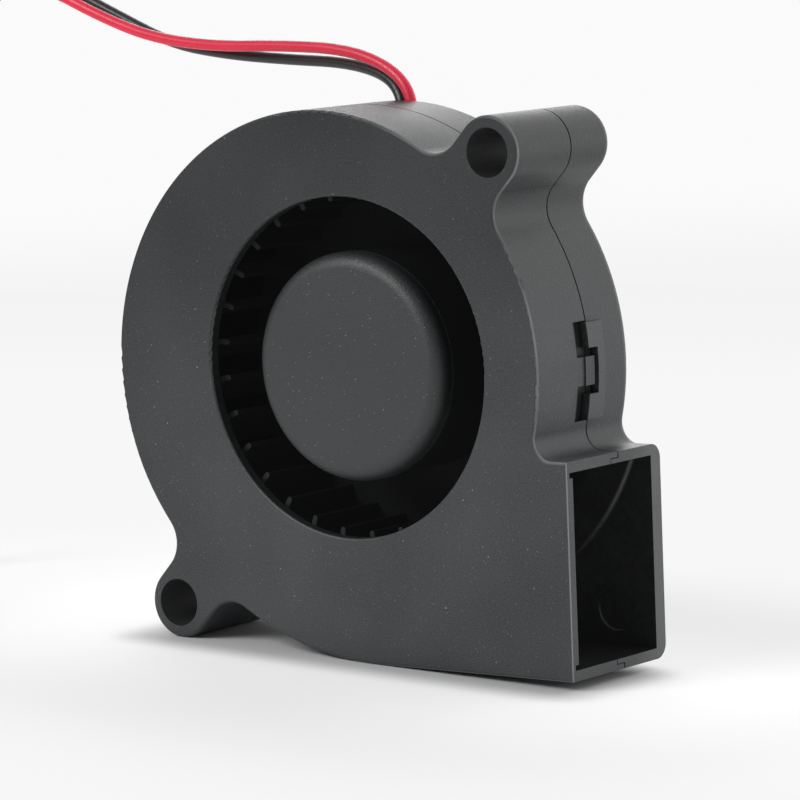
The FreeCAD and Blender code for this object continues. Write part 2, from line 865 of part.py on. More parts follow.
def plug_tunnel(centre, size, y0, y1):
    half = size / 2
    return plug_block(centre - half, centre + half, y0, y1, plug_line - half, plug_line + half)


def connector_housing():
    half = plug_width / 2
    body = plug_block(-half, half, 0, plug_length, 0, plug_height)
    rail = plug_rail_width / 2
    window = plug_window_width / 2
    for centre in (-plug_pitch / 2, plug_pitch / 2):
        body = body.fuse(
            plug_block(
                centre - rail,
                centre + rail,
                plug_rail_start,
                plug_length,
                plug_height,
                plug_height + plug_rail_height,
            )
        )
        body = body.cut(plug_tunnel(centre, plug_cavity, plug_back_wall, plug_length))
        entry = Vector(plug_x + centre, plug_y, plug_line)
        body = body.cut(
            Part.makeCylinder(lead_diameter / 2 + fit_gap, plug_back_wall, entry, -axis)
        )
        body = body.cut(
            plug_block(
                centre - window,
                centre + window,
                plug_window_start,
                plug_window_end,
                plug_height - plug_window_depth,
                plug_height + plug_rail_height,
            )
        )
    return lean_on_ground(body.removeSplitter(), plug_x)


def connector_contacts():
    contacts = []
    for centre in (-plug_pitch / 2, plug_pitch / 2):
        shell = plug_tunnel(centre, contact_size, plug_back_wall, plug_length - contact_set_back)
        hollow = plug_tunnel(
            centre, contact_size - 2 * contact_wall, plug_back_wall + contact_floor, plug_length
        )
        contacts.append(shell.cut(hollow))
    return lean_on_ground(Part.makeCompound(contacts), plug_x)


os.makedirs("parts", exist_ok=True)
blank = casing_blank()
save("front_cover", front_cover(blank))
save("rear_shell", rear_shell(blank))
save("impeller", impeller())
save("rotor_yoke", rotor_yoke())
save("rotor_magnet", ring(magnet_outer, magnet_inner, magnet_front, magnet_rear))
save("hub_bushing", hub_bushing())
save("shaft", shaft())
save("retaining_clip", retaining_clip())
save("sleeve_bearing", sleeve_bearing())
save("oil_washer", oil_washer())
save("thrust_pad", thrust_pad())
save("stator_core", stator_core())
save("front_insulator", front_insulator())
save("rear_insulator", rear_insulator())
save("stator_windings", stator_windings())
save("terminal_pins", terminal_pins())
save("circuit_board", circuit_board())
save("hall_driver_chip", hall_driver_chip())
save("board_capacitor", board_capacitor())
save("board_resistors", board_resistors())
save("solder_joints", solder_joints())
save("lead_conductors", lead_conductors())
save("red_lead", tube("red lead", red_route))
save("black_lead", tube("black lead", black_route))
save("red_lead_end", tube("red lead end", tail(red_turn_height, 1)))
save("black_lead_end", tube("black lead end", tail(black_turn_height, -1)))
save("red_lead_coil", lead_ring(red_ring_z))
save("black_lead_coil", lead_ring(black_ring_z))
save("connector_housing", connector_housing())
save("connector_contacts", connector_contacts())
touch_x = sweep_centre.x - sweep_radius * math.sin(lean)
print("lean", round(math.degrees(lean), 3), "touches at", round(touch_x, 3), round(ground_z(touch_x), 3))
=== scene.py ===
import json
import math

import bmesh
import bpy
import numpy as np
from mathutils import Matrix, Vector


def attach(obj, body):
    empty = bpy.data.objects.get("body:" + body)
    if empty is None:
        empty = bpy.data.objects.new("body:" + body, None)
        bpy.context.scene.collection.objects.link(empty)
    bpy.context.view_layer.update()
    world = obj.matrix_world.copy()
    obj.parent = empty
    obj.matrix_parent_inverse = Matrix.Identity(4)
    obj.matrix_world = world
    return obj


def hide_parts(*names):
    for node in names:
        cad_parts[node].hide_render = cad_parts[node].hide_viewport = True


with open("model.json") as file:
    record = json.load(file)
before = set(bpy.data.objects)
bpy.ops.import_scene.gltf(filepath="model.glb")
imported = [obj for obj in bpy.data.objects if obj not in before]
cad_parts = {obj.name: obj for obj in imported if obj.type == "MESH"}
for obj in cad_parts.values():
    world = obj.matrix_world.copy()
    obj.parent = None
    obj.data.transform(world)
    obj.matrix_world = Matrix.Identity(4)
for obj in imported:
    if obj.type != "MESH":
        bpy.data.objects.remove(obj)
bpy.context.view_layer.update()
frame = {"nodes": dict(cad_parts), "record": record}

mm = 0.001
scene = bpy.context.scene

# Camera: where the photograph was taken from

camera = {
    "place": (261.506, -334.770, 46.635),  # mm, in the blower's own frame
    "azimuth": 37.3186,
    "elevation": 6.6798,
    "roll": -2.1806,
    "lens": 210.066,
    "sensor": 36.0,
    "clip": (0.01, 20),  # metres
}


def makeCamera():
    data = bpy.data.cameras.new("studioCamera")
    data.lens = camera["lens"]
    data.sensor_width = camera["sensor"]
    data.clip_start, data.clip_end = camera["clip"]
    cam = bpy.data.objects.new("studioCamera", data)
    turn = Matrix.Rotation(math.radians(camera["azimuth"]), 4, "Z")
    tilt = Matrix.Rotation(math.radians(90 - camera["elevation"]), 4, "X")
    roll = Matrix.Rotation(math.radians(camera["roll"]), 4, "Z")
    cam.matrix_world = Matrix.Translation(Vector(camera["place"]) * mm) @ turn @ tilt @ roll
    scene.collection.objects.link(cam)
    scene.camera = cam


# The plane that the leaning blower stands on

ground = {"touchX": 1.334, "touchZ": -27.326, "lean": 2.289}  # mm and degrees


def groundZ(x):
    return ground["touchZ"] - (x - ground["touchX"]) * math.tan(math.radians(ground["lean"]))


# Shader helpers


def wire(tree, source, target):
    # An output is linked to the socket, and a number or a colour is written into it
    if isinstance(source, (int, float)):
        target.default_value = source
    elif isinstance(source, tuple):
        target.default_value = (*source, 1.0)
    else:
        tree.links.new(source, target)


def newGroup(name, numbers, outputs):
    # A group reads a place and some numbers, and puts out numbers
    tree = bpy.data.node_groups.new(name, "ShaderNodeTree")
    tree.interface.new_socket("Vector", in_out="INPUT", socket_type="NodeSocketVector")
    for label in numbers:
        tree.interface.new_socket(label, in_out="INPUT", socket_type="NodeSocketFloat")
    for label in outputs:
        tree.interface.new_socket(label, in_out="OUTPUT", socket_type="NodeSocketFloat")
    return tree, tree.nodes.new("NodeGroupInput").outputs, tree.nodes.new("NodeGroupOutput").inputs


def useGroup(tree, group, place, **numbers):
    made = tree.nodes.new("ShaderNodeGroup")
    made.node_tree = group
    wire(tree, place, made.inputs["Vector"])
    for label, number in numbers.items():
        wire(tree, number, made.inputs[label])
    return made.outputs


def maths(tree, operation, *terms):
    made = tree.nodes.new("ShaderNodeMath")
    made.operation = operation
    for slot, term in enumerate(terms):
        wire(tree, term, made.inputs[slot])
    return made.outputs[0]


def product(tree, first, *others):
    for other in others:
        first = maths(tree, "MULTIPLY", first, other)
    return first


def spread(tree, value, low, high, outLow=0.0, outHigh=1.0):
    # From one range to another along an S-curve, and level beyond both ends
    made = tree.nodes.new("ShaderNodeMapRange")
    made.interpolation_type = "SMOOTHSTEP"
    for label, number in (("From Min", low), ("From Max", high), ("To Min", outLow), ("To Max", outHigh)):
        wire(tree, number, made.inputs[label])
    wire(tree, value, made.inputs["Value"])
    return made.outputs["Result"]


def blend(tree, factor, a, b):
    made = tree.nodes.new("ShaderNodeMix")
    made.data_type = "RGBA"
    made.clamp_factor = True
    for slot, value in ((0, factor), (6, a), (7, b)):
        wire(tree, value, made.inputs[slot])
    return made.outputs[2]


def noise(tree, point, scale, detail=2.0):
    made = tree.nodes.new("ShaderNodeTexNoise")
    for label, value in (("Vector", point), ("Scale", scale), ("Detail", detail)):
        wire(tree, value, made.inputs[label])
    return made.outputs["Fac"]


def axesOf(tree, point):
    made = tree.nodes.new("ShaderNodeSeparateXYZ")
    wire(tree, point, made.inputs[0])
    return made.outputs


def farFrom(tree, a, b, centreA, centreB):
    # Distance in a plane: the root of the two squares' sum
    stepA = maths(tree, "SUBTRACT", a, centreA)
    stepB = maths(tree, "SUBTRACT", b, centreB)
    squareB = maths(tree, "MULTIPLY", stepB, stepB)
    return maths(tree, "SQRT", maths(tree, "MULTIPLY_ADD", stepA, stepA, squareB))


def outside(tree, value, middle, half):
    # How far the value lies outside middle - half to middle + half, and below 0 inside
    away = maths(tree, "ABSOLUTE", maths(tree, "SUBTRACT", value, middle))
    return maths(tree, "SUBTRACT", away, half)


def between(tree, value, low, high, soft):
    # 1 where the value lies from low to high, with soft ends
    rise = spread(tree, value, low - soft, low + soft)
    fall = spread(tree, value, high - soft, high + soft, 1.0, 0.0)
    return product(tree, rise, fall)


# Shared effects

mouldGrain = {
    "broadScale": 60,
    "broadShare": 0.35,  # of the tone, and the fine bumps have the rest
}

specksAndGlints = {
    "smallest": 0.35,  # added to the cell's own number, which then scales the radius
    "fewBright": 3.0,
    "dimmest": 0.15,
}


def makeGrain():
    # Spark-eroded mould grain: fine bumps, and a tone that follows them and a slower unevenness
    tree, ins, outs = newGroup("mouldGrain", ("Size",), ("Height", "Tone"))
    fine = noise(tree, ins["Vector"], maths(tree, "DIVIDE", 1.0, ins["Size"]))
    broad = noise(tree, ins["Vector"], mouldGrain["broadScale"])
    fineTone = maths(tree, "MULTIPLY", fine, 1.0 - mouldGrain["broadShare"])
    wire(tree, fine, outs["Height"])
    wire(tree, maths(tree, "MULTIPLY_ADD", broad, mouldGrain["broadShare"], fineTone), outs["Tone"])
    return tree


def makeSpecks():
    # Stray dust, and painted glints: a few cells of a fine Voronoi field carry a small round speck each
    tree, ins, outs = newGroup("specksAndGlints", ("Pitch", "Share", "Radius"), ("Mask",))
    cells = tree.nodes.new("ShaderNodeTexVoronoi")
    wire(tree, ins["Vector"], cells.inputs["Vector"])
    wire(tree, ins["Pitch"], cells.inputs["Scale"])
    parts = tree.nodes.new("ShaderNodeSeparateColor")
    wire(tree, cells.outputs["Color"], parts.inputs["Color"])
    pick, grow, shine = parts.outputs
    chosen = maths(tree, "LESS_THAN", pick, ins["Share"])
    size = maths(tree, "MULTIPLY", ins["Radius"], maths(tree, "ADD", grow, specksAndGlints["smallest"]))
    near = maths(tree, "LESS_THAN", cells.outputs["Distance"], size)
    shine = maths(tree, "POWER", shine, specksAndGlints["fewBright"])
    bright = maths(tree, "MULTIPLY_ADD", shine, 1.0 - specksAndGlints["dimmest"], specksAndGlints["dimmest"])
    wire(tree, product(tree, chosen, near, bright), outs["Mask"])
    return tree


effects = {}


def startMaterial(name):
    made = bpy.data.materials.new(name)
    made.use_nodes = True
    tree = made.node_tree
    shader = tree.nodes["Principled BSDF"]
    place = tree.nodes.new("ShaderNodeTexCoord").outputs["Object"]
    return made, tree, shader, place


def bump(tree, shader, height, strength, distance):
    made = tree.nodes.new("ShaderNodeBump")
    for label, value in (("Strength", strength), ("Distance", distance), ("Height", height)):
        wire(tree, value, made.inputs[label])
    wire(tree, made.outputs["Normal"], shader.inputs["Normal"])


def roughen(tree, shader, tone, contrast, rough, swing):
    # The roughness goes from below to above its middle while the tone goes through the contrast
    below, above = swing
    wire(tree, spread(tree, tone, *contrast, rough - below, rough + above), shader.inputs["Roughness"])


# Moulded plastics. Places and sizes are in metres. A band's three numbers are where it starts,
# where it ends and how soft its ends are.

plasticSurface = {
    "contrast": (0.3, 0.7),  # the stretch of the grain's tone that goes from dark to light
    "swing": (0.06, 0.06),
    "bumpDepth": 0.4,  # of the grain's size
    # Tint of the painted glow: a faint light given off by the inner plastics, standing in for light
    # scattered inside the blower
    "paintedGlowTint": (0.95, 1.0, 0.97),
}

plastics = {
    "casingPlastic": {
        "dark": (0.013, 0.0155, 0.017),
        "light": (0.052, 0.057, 0.060),
        "rough": 0.46,
        "specular": 0.5,
        "grain": 0.00014,
        "bump": 0.75,
        "bumpBehind": (0.0004, 0.0009),  # behind the front face, which is smooth itself
        "specks": (2000.0, 0.28, 0.11, (0.26, 0.27, 0.28)),  # cells in a metre, share, radius, colour
        # Painted glints: fine bright points standing in for light caught by the grain
        "glints": (4200.0, 0.45, 0.2, (0.12, 0.125, 0.13)),
        # Painted shade in the latches' hollows
        "hollow": (-0.0005, -0.00015),  # beyond the outer wall's arcs
        "hollowDepth": (0.0064, 0.0094, 0.0001),
        "hollowColour": (0.012, 0.012, 0.012),
        "proud": (0.00022, 0.00032),
        "loopDepth": (0.0070, 0.0105, 0.0001),
        "loopHeight": (-0.0048, 0.0042, 0.0001),
        # Painted light: the latch loops' raised bars are painted lighter, as if lit
        "loopLitColour": (0.052, 0.056, 0.059),
        # Painted light: the outlet mouth's rear half is painted lighter, as if lit
        "mouth": (0.02430, 0.02438),
        "mouthBack": (0.0095, 0.0142),
        "mouthColour": (0.072, 0.076, 0.078),
        # Painted shade: the casing's colour darkens towards its top
        "paintedUpperShade": (-0.009, 0.022, 0.58),  # height where it starts, where it ends, and the share left
        # A light line along the front edge's round, part wear and part painted highlight, brightest towards
        # the right
        "edgeLineNoise": (140, 1.0),
        "edgeLineBreaks": (0.35, 0.60, 0.55, 1.0),  # from one value of the noise to another, and the strength of the light line there
        "edgeLineAcross": (-0.004, 0.010, 0.2, 1.0),  # the same from the left to the right
        "edgeLineBeyond": (0.0160, 0.0172, 0.3, 1.0),  # and outwards from the axis
        "edgeLineDepth": (0.00007, 0.00027, 0.00004),
        "edgeWearAndHighlightColour": (0.17, 0.175, 0.18),
    },
    # Painted shade for the inner walls and the joint between the halves: darker and duller than the
    # outside, with a faint painted glow
    "casingInsideShade": {
        "dark": (0.013, 0.014, 0.014),
        "light": (0.020, 0.021, 0.021),
        "paintedGlow": 0.0024,
        "arcs": (
            # centre x and z, radius, half width, from nothing to full along x and along z, lightness
            (0.0, 0.0, 0.0241, 0.00030, 0.0130, 0.0225, -0.0250, -0.0120, 1.0),
            (0.0201, -0.0230, 0.00195, 0.00011, 0.0216, 0.0196, -0.0222, -0.0236, 0.8),
        ),
        "arcDepth": (0.0131, 0.0139, 0.0001),
        "arcHighlightColour": (0.14, 0.145, 0.14),
        "rough": 0.34,
        "specular": 0.16,
        "grain": 0.0006,
        "bump": 0.06,
        "specks": (1500.0, 0.12, 0.10, (0.10, 0.10, 0.11)),
    },
    # Painted shade for the bores' walls, with a faint painted glow
    "casingBoreShade": {
        "dark": (0.020, 0.021, 0.021),
        "light": (0.032, 0.033, 0.033),
        "paintedGlow": 0.0045,
        "rough": 0.4,
        "specular": 0.3,
        "grain": 0.00014,
        "bump": 0.3,
    },
    "naturalNylon": {
        "dark": (0.76, 0.75, 0.70),
        "light": (0.83, 0.82, 0.78),
        "rough": 0.42,
        "specular": 0.5,
        "grain": 0.0005,
        "bump": 0.1,
    },
    "blackNylon": {
        "dark": (0.018, 0.018, 0.020),
        "light": (0.028, 0.028, 0.030),
        "rough": 0.4,
        "specular": 0.5,
        "grain": 0.0003,
        "bump": 0.1,
    },
    "boardLaminate": {
        "dark": (0.020, 0.115, 0.045),
        "light": (0.030, 0.150, 0.060),
        "rough": 0.35,
        "specular": 0.5,
        "grain": 0.0006,
        "bump": 0.1,
    },
    "ceramicTan": {
        "dark": (0.40, 0.29, 0.18),
        "light": (0.50, 0.38, 0.25),
        "rough": 0.45,
        "specular": 0.5,
        "grain": 0.0002,
        "bump": 0.1,
    },
}

impellerLook = {
    "dark": (0.008, 0.0096, 0.0106),
    "light": (0.021, 0.0240, 0.0258),
    # Light specks on the cap: part dust, part painted glints
    "specks": (3000.0, 0.5, 0.12, (0.22, 0.23, 0.24)),
    # Painted shade: the blades and the hub behind the cap are near black, a little darker within 16.2 mm of
    # the axis
    "inner": (0.005, 0.0054, 0.0052),
    "innerEdge": (0.004, 0.0044, 0.0044),
    "innerSpecular": 0.10,
    # paintedGlow: a faint painted glow on the impeller outside its cap, standing in for light scattered
    # between the blades
    "paintedGlow": 0.0031,
    "edgeRadius": (0.0162, 0.0168),
    # Painted highlight on the blades' front tips
    "tipDepth": (0.00210, 0.00222, 0.00004),
    "tipHighlightColour": (0.030, 0.032, 0.033),
    "rough": 0.53,
    "specular": 0.74,
    "grain": 0.00015,
    "bump": 0.6,
    "hubEdge": (0.0109, 0.0111),
    "capFade": (0.0018, 0.0034),  # behind the front face
    # A light line on the cap's parting edge: part flash, part painted highlight
    "capEdge": (0.00244, 0.00252, 0.00003),
    "capEdgeFlashAndHighlightColour": (0.10, 0.105, 0.11),
}


def casingPaintedLightAndWear(tree, place, look, colour):
    # Painted light and shade: the latches' hollows get painted shade and their loops a painted lit tone,
    # the mouth's rear half is painted lighter as if lit, the front edge gets a light line that is part wear
    # and part painted highlight, and the casing gets painted shade towards its top
    across, back, up = axesOf(tree, place)
    right, left = (
        maths(tree, "SUBTRACT", farFrom(tree, across, up, x * mm, z * mm), radius * mm)
        for x, z, radius in (volute["cutoff"], volute["crest"])
    )
    hollow = maths(
        tree,
        "MAXIMUM",
        spread(tree, right, *look["hollow"], 1.0, 0.0),
        spread(tree, left, *look["hollow"], 1.0, 0.0),
    )
    hollow = product(tree, hollow, between(tree, back, *look["hollowDepth"]))
    colour = blend(tree, hollow, colour, look["hollowColour"])
    litLoop = product(
        tree,
        spread(tree, right, *look["proud"]),
        between(tree, back, *look["loopDepth"]),
        between(tree, up, *look["loopHeight"]),
    )
    colour = blend(tree, litLoop, colour, look["loopLitColour"])
    mouth = product(tree, spread(tree, across, *look["mouth"]), spread(tree, back, *look["mouthBack"]))
    colour = blend(tree, mouth, colour, look["mouthColour"])
    low, high, share = look["paintedUpperShade"]
    colour = blend(tree, spread(tree, up, low, high, 0.0, 1.0 - share), colour, (0, 0, 0))
    edgeWearAndHighlight = product(
        tree,
        spread(tree, noise(tree, place, *look["edgeLineNoise"]), *look["edgeLineBreaks"]),
        spread(tree, across, *look["edgeLineAcross"]),
        spread(tree, farFrom(tree, across, up, 0.0, 0.0), *look["edgeLineBeyond"]),
        between(tree, back, *look["edgeLineDepth"]),
    )
    return blend(tree, edgeWearAndHighlight, colour, look["edgeWearAndHighlightColour"])


def paintedArcHighlights(tree, place, look, colour):
    # Painted highlights on the rear wall's inside: light arcs along the step round the floor and along an
    # ejector pin's mark, fading to nothing along x and z
    across, back, up = axesOf(tree, place)
    deep = between(tree, back, *look["arcDepth"])
    for x, z, radius, half, xNone, xFull, zNone, zFull, share in look["arcs"]:
        away = outside(tree, farFrom(tree, across, up, x, z), radius, 0.0)
        line = product(
            tree,
            spread(tree, away, 0.0, half, share, 0.0),
            deep,
            spread(tree, across, xNone, xFull),
            spread(tree, up, zNone, zFull),
        )
        colour = blend(tree, line, colour, look["arcHighlightColour"])
    return colour


def grained(tree, place, look):
    # The grain's height, and its tone from 0 to 1
    made = useGroup(tree, effects["grain"], place, Size=look["grain"])
    return made["Height"], spread(tree, made["Tone"], *plasticSurface["contrast"])


def speckled(tree, place, colour, pitch, share, radius, speckTint):
    made = useGroup(tree, effects["specks"], place, Pitch=pitch, Share=share, Radius=radius)
    return blend(tree, made["Mask"], colour, speckTint)


def finishPlastic(tree, shader, look, height, tone, colour, specular, paintedGlow, strength):
    for label, value in (
        ("Base Color", colour),
        ("Specular IOR Level", specular),
        ("Emission Color", plasticSurface["paintedGlowTint"]),
        ("Emission Strength", paintedGlow),
    ):
        wire(tree, value, shader.inputs[label])
    roughen(tree, shader, tone, (0, 1), look["rough"], plasticSurface["swing"])
    bump(tree, shader, height, strength, look["grain"] * plasticSurface["bumpDepth"])


def mouldedPlastic(name, look):
    # Grained plastic with an uneven tone, and what else its look names: dust specks, painted glints,
    # painted light and shade, edge wear, painted arc highlights and a faint painted glow
    made, tree, shader, place = startMaterial(name)
    height, tone = grained(tree, place, look)
    colour = blend(tree, tone, look["dark"], look["light"])
    for speckKind in ("specks", "glints"):
        if speckKind in look:
            colour = speckled(tree, place, colour, *look[speckKind])
    if "hollow" in look:
        colour = casingPaintedLightAndWear(tree, place, look, colour)
    if "arcs" in look:
        colour = paintedArcHighlights(tree, place, look, colour)
    strength = look["bump"]
    if "bumpBehind" in look:
        strength = spread(tree, axesOf(tree, place)["Y"], *look["bumpBehind"], 0.0, look["bump"])
    paintedGlow = look.get("paintedGlow", 0.0)
    finishPlastic(tree, shader, look, height, tone, colour, look["specular"], paintedGlow, strength)
    return made


def impellerPlastic(name, look):
    # The hub's cap is grained like the casing; its parting edge gets a light line, part flash and part
    # painted highlight; the blades' front tips get a painted highlight; and the rest gets painted shade,
    # near black, with a faint painted glow
    made, tree, shader, place = startMaterial(name)
    across, back, up = axesOf(tree, place)
    radius = farFrom(tree, across, up, 0.0, 0.0)
    inHub = spread(tree, radius, *look["hubEdge"], 1.0, 0.0)
    cap = product(tree, inHub, spread(tree, back, *look["capFade"], 1.0, 0.0))
    edge = product(tree, inHub, between(tree, back, *look["capEdge"]))
    height, tone = grained(tree, place, look)
    capColour = blend(tree, tone, look["dark"], look["light"])
    # Light specks on the cap, part dust and part painted glints
    capColour = speckled(tree, place, capColour, *look["specks"])
    # Painted shade on the blades and the hub behind the cap, and a painted highlight on the blades' front
    # tips
    inner = blend(tree, spread(tree, radius, *look["edgeRadius"]), look["innerEdge"], look["inner"])
    inner = blend(tree, between(tree, back, *look["tipDepth"]), inner, look["tipHighlightColour"])
    colour = blend(tree, cap, inner, capColour)
    colour = blend(tree, edge, colour, look["capEdgeFlashAndHighlightColour"])
    specular = spread(tree, cap, 0, 1, look["innerSpecular"], look["specular"])
    # Painted glow everywhere but on the cap
    paintedGlow = spread(tree, cap, 0, 1, look["paintedGlow"], 0.0)
    finishPlastic(tree, shader, look, height, tone, colour, specular, paintedGlow, look["bump"])
    return made


# Metals

metalSurface = {
    "mottleDetail": 3.0,
    "scuffs": 9,  # times as fine as the mottle
    "contrast": (0.3, 0.7),
    "swing": (0.08, 0.08),
    "bump": 0.15,
    "bumpDepth": 0.00001,
}

metals = {
    # dark and light colour, roughness, how metallic, and the mottle's scale
    "drawnSteel": ((0.42, 0.42, 0.43), (0.55, 0.55, 0.56), 0.38, 1.0, 300),
    "groundSteel": ((0.60, 0.60, 0.61), (0.70, 0.70, 0.71), 0.2, 1.0, 500),
    "laminations": ((0.25, 0.25, 0.27), (0.38, 0.38, 0.40), 0.5, 1.0, 400),
    "ferrite": ((0.03, 0.03, 0.032), (0.05, 0.05, 0.052), 0.6, 0.3, 400),
    "brass": ((0.62, 0.45, 0.18), (0.74, 0.56, 0.26), 0.3, 1.0, 300),
    "sinteredBronze": ((0.30, 0.19, 0.09), (0.46, 0.32, 0.17), 0.55, 1.0, 900),
    "enamelledCopper": ((0.42, 0.14, 0.05), (0.62, 0.25, 0.10), 0.3, 0.9, 500),
    "tin": ((0.62, 0.62, 0.61), (0.74, 0.74, 0.73), 0.25, 1.0, 500),
}


def metal(name, dark, light, rough, metallic, scale):
    # Metal with a slow mottle and fine scuffs
    made, tree, shader, place = startMaterial(name)
    mottle = noise(tree, place, scale, metalSurface["mottleDetail"])
    scuffs = noise(tree, place, scale * metalSurface["scuffs"])
    wire(tree, blend(tree, mottle, dark, light), shader.inputs["Base Color"])
    wire(tree, metallic, shader.inputs["Metallic"])
    roughen(tree, shader, scuffs, metalSurface["contrast"], rough, metalSurface["swing"])
    bump(tree, shader, scuffs, metalSurface["bump"], metalSurface["bumpDepth"])
    return made


# Insulation of the leads

insulationSurface = {
    "slowScale": 220,
    "fineScale": 3000,
    "contrast": (0.3, 0.7),
    "swing": (0.05, 0.07),
    "specular": 0.5,
    "waviness": 2.0,  # times the fine bumps
    "bump": 0.2,
    "bumpDepth": 0.00003,
}

insulation = {
    # dark and light colour, and roughness
    "redInsulation": ((0.66, 0.012, 0.045), (0.80, 0.022, 0.070), 0.38),
    "blackInsulation": ((0.012, 0.012, 0.014), (0.022, 0.022, 0.024), 0.36),
}


def leadInsulation(name, dark, light, rough):
    # Soft extruded insulation: nearly even colour, a slow waviness and a dull shine
    made, tree, shader, place = startMaterial(name)
    slow = noise(tree, place, insulationSurface["slowScale"])
    fine = noise(tree, place, insulationSurface["fineScale"])
    wire(tree, blend(tree, slow, dark, light), shader.inputs["Base Color"])
    wire(tree, insulationSurface["specular"], shader.inputs["Specular IOR Level"])
    roughen(tree, shader, fine, insulationSurface["contrast"], rough, insulationSurface["swing"])
    height = maths(tree, "MULTIPLY_ADD", slow, insulationSurface["waviness"], fine)
    bump(tree, shader, height, insulationSurface["bump"], insulationSurface["bumpDepth"])
    return made


finishes = {}


def makeFinishes():
    effects["grain"] = makeGrain()
    effects["specks"] = makeSpecks()
    for name, look in plastics.items():
        finishes[name] = mouldedPlastic(name, look)
    finishes["impellerPlastic"] = impellerPlastic("impellerPlastic", impellerLook)
    for name, look in metals.items():
        finishes[name] = metal(name, *look)
    for name, look in insulation.items():
        finishes[name] = leadInsulation(name, *look)


# CAD nodes: each one's finish, and which of them get a smooth-shaded copy

nodeFinish = {
    "front_cover": "casingPlastic",
    "rear_shell": "casingPlastic",
    "impeller": "impellerPlastic",
    "rotor_yoke": "drawnSteel",
    "rotor_magnet": "ferrite",
    "hub_bushing": "brass",
    "shaft": "groundSteel",
    "retaining_clip": "blackNylon",
    "sleeve_bearing": "sinteredBronze",
    "oil_washer": "naturalNylon",
    "thrust_pad": "naturalNylon",
    "stator_core": "laminations",
    "front_insulator": "naturalNylon",
    "rear_insulator": "naturalNylon",
    "stator_windings": "enamelledCopper",
    "terminal_pins": "tin",
    "circuit_board": "boardLaminate",
    "hall_driver_chip": "blackNylon",
    "board_capacitor": "ceramicTan",
    "board_resistors": "blackNylon",
    "solder_joints": "tin",
    "lead_conductors": "tin",
    "red_lead": "redInsulation",
    "black_lead": "blackInsulation",
    "red_lead_end": "redInsulation",
    "black_lead_end": "blackInsulation",
    "red_lead_coil": "redInsulation",
    "black_lead_coil": "blackInsulation",
    "connector_housing": "naturalNylon",
    "connector_contacts": "tin",
}

smoothNodes = {
    # the copy's name, and the angle in degrees past which an edge stays sharp
    "front_cover": ("frontCover", 42.0),
    "rear_shell": ("rearShell", 42.0),
    "impeller": ("impellerWheel", 42.0),
    "connector_housing": ("connectorShell", 30.0),
}

meshCleaning = {
    "join": 0.000002,  # metres
    "shortest": 0.000001,
    "flat": 0.4,  # degrees
}

plugEdges = {"width": 0.12, "segments": 2}  # mm


def dressNodes():
    for node, finish in nodeFinish.items():
        mesh = frame["nodes"][node].data
        mesh.materials.clear()
        mesh.materials.append(finishes[finish])


def bodyOf(node):
    for body, nodes in frame["record"]["behaviour"]["bodies"].items():
        if node in nodes:
            return body


def values(items, name, width, kind=float):
    found = np.empty(len(items) * width, kind)
    items.foreach_get(name, found)
    return found.reshape(-1, width) if width > 1 else found


def roundNormals(mesh, sharpAngle):
    # A corner's normal is the mean of the normals of the faces round its vertex that turn less than
    # the sharp angle from the corner's own face, each counted by its area
    vertex = values(mesh.loops, "vertex_index", 1, np.int32)
    sides = values(mesh.polygons, "loop_total", 1, np.int32)
    face = np.repeat(np.arange(len(sides)), sides)
    normal = values(mesh.polygons, "normal", 3)[face]
    area = values(mesh.polygons, "area", 1)[face]
    order = np.argsort(vertex, kind="stable")
    first = np.searchsorted(vertex[order], vertex)
    share = np.bincount(vertex)[vertex]
    here = np.repeat(np.arange(len(vertex)), share)
    step = np.arange(share.sum()) - np.repeat(np.cumsum(share) - share, share)
    other = order[first[here] + step]
    near = (normal[here] * normal[other]).sum(1) > math.cos(math.radians(sharpAngle))
    pull = area[other] * near
    total = np.stack([np.bincount(here, pull * normal[other, k]) for k in range(3)], -1)
    total /= np.linalg.norm(total, axis=1, keepdims=True)
    mesh.normals_split_custom_set(total.tolist())


def smoothCopy(node, name, sharpAngle):
    # The node's triangles are joined, those in one plane become one face, and curved walls shade round
    mesh = frame["nodes"][node].data.copy()
    mesh.name = name
    work = bmesh.new()
    work.from_mesh(mesh)
    bmesh.ops.remove_doubles(work, verts=work.verts, dist=meshCleaning["join"])
    bmesh.ops.dissolve_degenerate(work, dist=meshCleaning["shortest"], edges=work.edges)
    flat = math.radians(meshCleaning["flat"])
    bmesh.ops.dissolve_limit(work, angle_limit=flat, verts=work.verts, edges=work.edges)
    work.to_mesh(mesh)
    work.free()
    mesh.shade_smooth()
    mesh.set_sharp_from_angle(angle=math.radians(sharpAngle))
    roundNormals(mesh, sharpAngle)
    copy = bpy.data.objects.new(name, mesh)
    scene.collection.objects.link(copy)
    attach(copy, bodyOf(node))
    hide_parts(node)
    return copy


def softenPlug(copy):
    edges = copy.modifiers.new("softEdges", "BEVEL")
    edges.width = plugEdges["width"] * mm
    edges.segments = plugEdges["segments"]
    edges.limit_method = "ANGLE"


# Inner walls, the joint between the two halves, and bores get painted shade: a darker finish than the
# grained outside, with a faint painted glow

volute = {
    "crest": (-2.82, -0.45, 24.1),  # centre x and z, and the radius of the outer wall
    "cutoff": (-1.74, 0.02, 23.42),
    "sweep": (2.56, 3.32, 30.67),
    "duct": (2.6, 24.3, -27.35, -7.55),  # from x to x, from z to z
    "wall": 0.9,
    "inner": (1.05, 13.75),
    "jointInset": 0.35,
    "joint": (6.0, 9.3),
    "parting": (8.1, 8.45),
    "facesFront": 0.9,  # least share of a face's normal along the axis
    "facesAside": 0.5,  # most share of it in a bore
    "boreFrom": 0.2,
    # centre x and z, radius, length and finish of the inlet and of both holes
    "bores": ((0, 0, 15.8, 1.2, 1), (17.05, 19.91, 2.3, 14.9, 2), (-20.95, -23.09, 2.3, 14.9, 2)),
}


